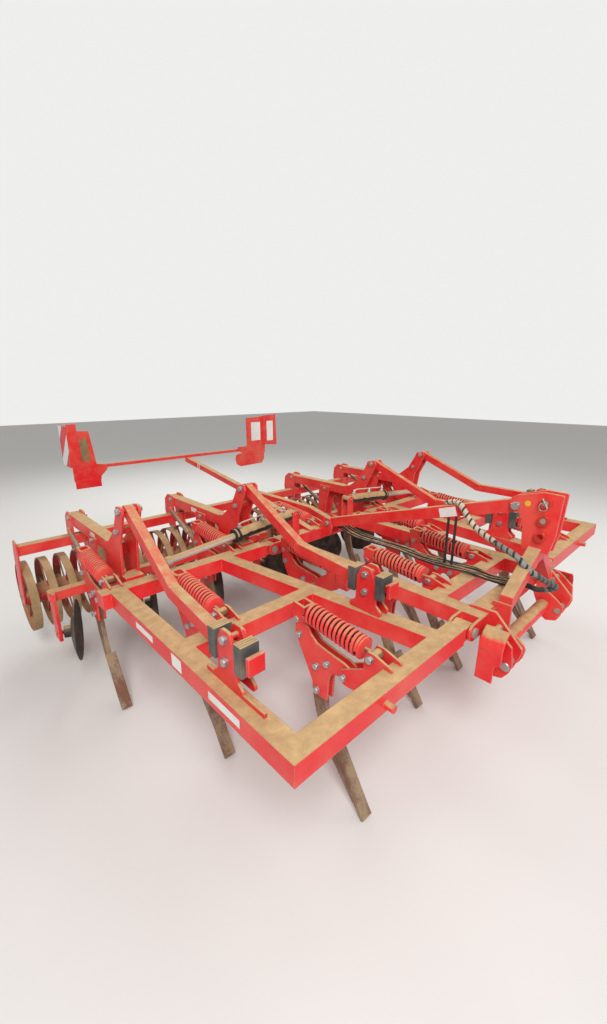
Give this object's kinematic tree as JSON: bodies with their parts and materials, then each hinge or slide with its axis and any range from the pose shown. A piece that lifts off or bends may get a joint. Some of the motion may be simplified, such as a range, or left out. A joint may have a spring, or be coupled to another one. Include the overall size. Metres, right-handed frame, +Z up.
{
  "type": "mounted folding spring-tine subsoiler",
  "caption": "Mounted folding stubble cultivator: a centre frame and two wings with spring-trip subsoiling tines, levelling discs, ring rollers and a light boom.",
  "frame": {"origin": "on the floor, under the middle of the whole machine", "axes": "+X to the machine's left, +Y to its rear, +Z up"},
  "size_m": [4.36, 4.655, 1.852],
  "materials": {
    "red_paint": "gloss",
    "worn_steel": "worn",
    "roller_steel": "matte",
    "disc_steel": "satin",
    "rod_chrome": "polished",
    "dusty_cylinder": "matte",
    "zinc_steel": "satin",
    "board_paint": "satin"
  },
  "bodies": {
    "centre": {"centre_frame": "red_paint", "cross_pipe": "red_paint", "cylinder_lugs_centre": "red_paint", "fold_pins": "zinc_steel", "headstock": "red_paint", "hitch_pins": "zinc_steel", "light_boards": "board_paint", "light_boom": "red_paint", "lower_clevises": "red_paint", "stay": "red_paint", "stay_bracket": "red_paint", "tine_brackets_centre": "red_paint", "tine_carriers_centre": "red_paint", "tine_legs_centre": "worn_steel", "tine_springs_centre": "red_paint"},
    "wing_right": {"cylinder_lugs_right": "red_paint", "depth_bars_right": "red_paint", "depth_brackets_right": "red_paint", "depth_clips_right": "zinc_steel", "disc_frame_right": "red_paint", "roller_arms_right": "red_paint", "roller_frame_right": "red_paint", "tine_brackets_wing_right": "red_paint", "tine_carriers_wing_right": "red_paint", "tine_legs_wing_right": "worn_steel", "tine_springs_wing_right": "red_paint", "wing_frame_right": "red_paint"},
    "wing_left": {"cylinder_lugs_left": "red_paint", "depth_bars_left": "red_paint", "depth_brackets_left": "red_paint", "depth_clips_left": "zinc_steel", "disc_frame_left": "red_paint", "roller_arms_left": "red_paint", "roller_frame_left": "red_paint", "tine_brackets_wing_left": "red_paint", "tine_carriers_wing_left": "red_paint", "tine_legs_wing_left": "worn_steel", "tine_springs_wing_left": "red_paint", "wing_frame_left": "red_paint"},
    "disc_left_1": {"disc_left_1": "disc_steel"},
    "disc_left_2": {"disc_left_2": "disc_steel"},
    "disc_left_3": {"disc_left_3": "disc_steel"},
    "disc_left_4": {"disc_left_4": "disc_steel"},
    "disc_right_1": {"disc_right_1": "disc_steel"},
    "disc_right_2": {"disc_right_2": "disc_steel"},
    "disc_right_3": {"disc_right_3": "disc_steel"},
    "disc_right_4": {"disc_right_4": "disc_steel"},
    "fold_barrel_left": {"fold_barrel_left": "dusty_cylinder"},
    "fold_barrel_right": {"fold_barrel_right": "dusty_cylinder"},
    "fold_rod_left": {"fold_rod_left": "rod_chrome"},
    "fold_rod_right": {"fold_rod_right": "rod_chrome"},
    "roller_left": {"roller_left": "roller_steel"},
    "roller_right": {"roller_right": "roller_steel"}
  },
  "joints": [
    {"name": "fold_right", "type": "hinge", "parent": "centre", "child": "wing_right", "pos_m": [-0.615, -2.06651, 0.95], "axis": [0, 1, 0], "range_deg": [0, 90]},
    {"name": "roller_spin_right", "type": "hinge", "parent": "wing_right", "child": "roller_right", "pos_m": [-1.115, 0.99349, 0.525], "axis": [1, 0, 0], "continuous": true},
    {"name": "disc_right_1_spin", "type": "hinge", "parent": "wing_right", "child": "disc_right_1", "pos_m": [-0.154, 0.29349, 0.45], "axis": [0.9397, -0.342, 0], "continuous": true},
    {"name": "disc_right_2_spin", "type": "hinge", "parent": "wing_right", "child": "disc_right_2", "pos_m": [-0.77, 0.29349, 0.45], "axis": [0.9397, -0.342, 0], "continuous": true},
    {"name": "disc_right_3_spin", "type": "hinge", "parent": "wing_right", "child": "disc_right_3", "pos_m": [-1.386, 0.29349, 0.45], "axis": [0.9397, -0.342, 0], "continuous": true},
    {"name": "disc_right_4_spin", "type": "hinge", "parent": "wing_right", "child": "disc_right_4", "pos_m": [-2.002, 0.29349, 0.45], "axis": [0.9397, -0.342, 0], "continuous": true},
    {"name": "barrel_tilt_right", "type": "hinge", "parent": "centre", "child": "fold_barrel_right", "pos_m": [-0.355, -0.38651, 1.185], "axis": [0, 1, 0], "range_deg": [-1, 90]},
    {"name": "rod_slide_right", "type": "slide", "parent": "fold_barrel_right", "child": "fold_rod_right", "axis": [-0.9959, 0, -0.0909], "range_m": [-0.4883, 0.001]},
    {"name": "fold_left", "type": "hinge", "parent": "centre", "child": "wing_left", "pos_m": [0.615, -2.06651, 0.95], "axis": [0, -1, 0], "range_deg": [0, 90]},
    {"name": "roller_spin_left", "type": "hinge", "parent": "wing_left", "child": "roller_left", "pos_m": [1.115, 0.99349, 0.525], "axis": [1, 0, 0], "continuous": true},
    {"name": "disc_left_1_spin", "type": "hinge", "parent": "wing_left", "child": "disc_left_1", "pos_m": [0.154, 0.29349, 0.45], "axis": [0.9397, 0.342, 0], "continuous": true},
    {"name": "disc_left_2_spin", "type": "hinge", "parent": "wing_left", "child": "disc_left_2", "pos_m": [0.77, 0.29349, 0.45], "axis": [0.9397, 0.342, 0], "continuous": true},
    {"name": "disc_left_3_spin", "type": "hinge", "parent": "wing_left", "child": "disc_left_3", "pos_m": [1.386, 0.29349, 0.45], "axis": [0.9397, 0.342, 0], "continuous": true},
    {"name": "disc_left_4_spin", "type": "hinge", "parent": "wing_left", "child": "disc_left_4", "pos_m": [2.002, 0.29349, 0.45], "axis": [0.9397, 0.342, 0], "continuous": true},
    {"name": "barrel_tilt_left", "type": "hinge", "parent": "centre", "child": "fold_barrel_left", "pos_m": [0.355, -0.38651, 1.185], "axis": [0, -1, 0], "range_deg": [-1, 90]},
    {"name": "rod_slide_left", "type": "slide", "parent": "fold_barrel_left", "child": "fold_rod_left", "axis": [0.9959, 0, -0.0909], "range_m": [-0.4883, 0.001]}
  ],
  "couplings": [
    {"joint": "barrel_tilt_right", "follows": "fold_right", "ratio": 0.93833},
    {"joint": "rod_slide_right", "follows": "fold_right", "m_per_rad": -0.31022},
    {"joint": "barrel_tilt_left", "follows": "fold_left", "ratio": 0.93833},
    {"joint": "rod_slide_left", "follows": "fold_left", "m_per_rad": -0.31022}
  ]
}
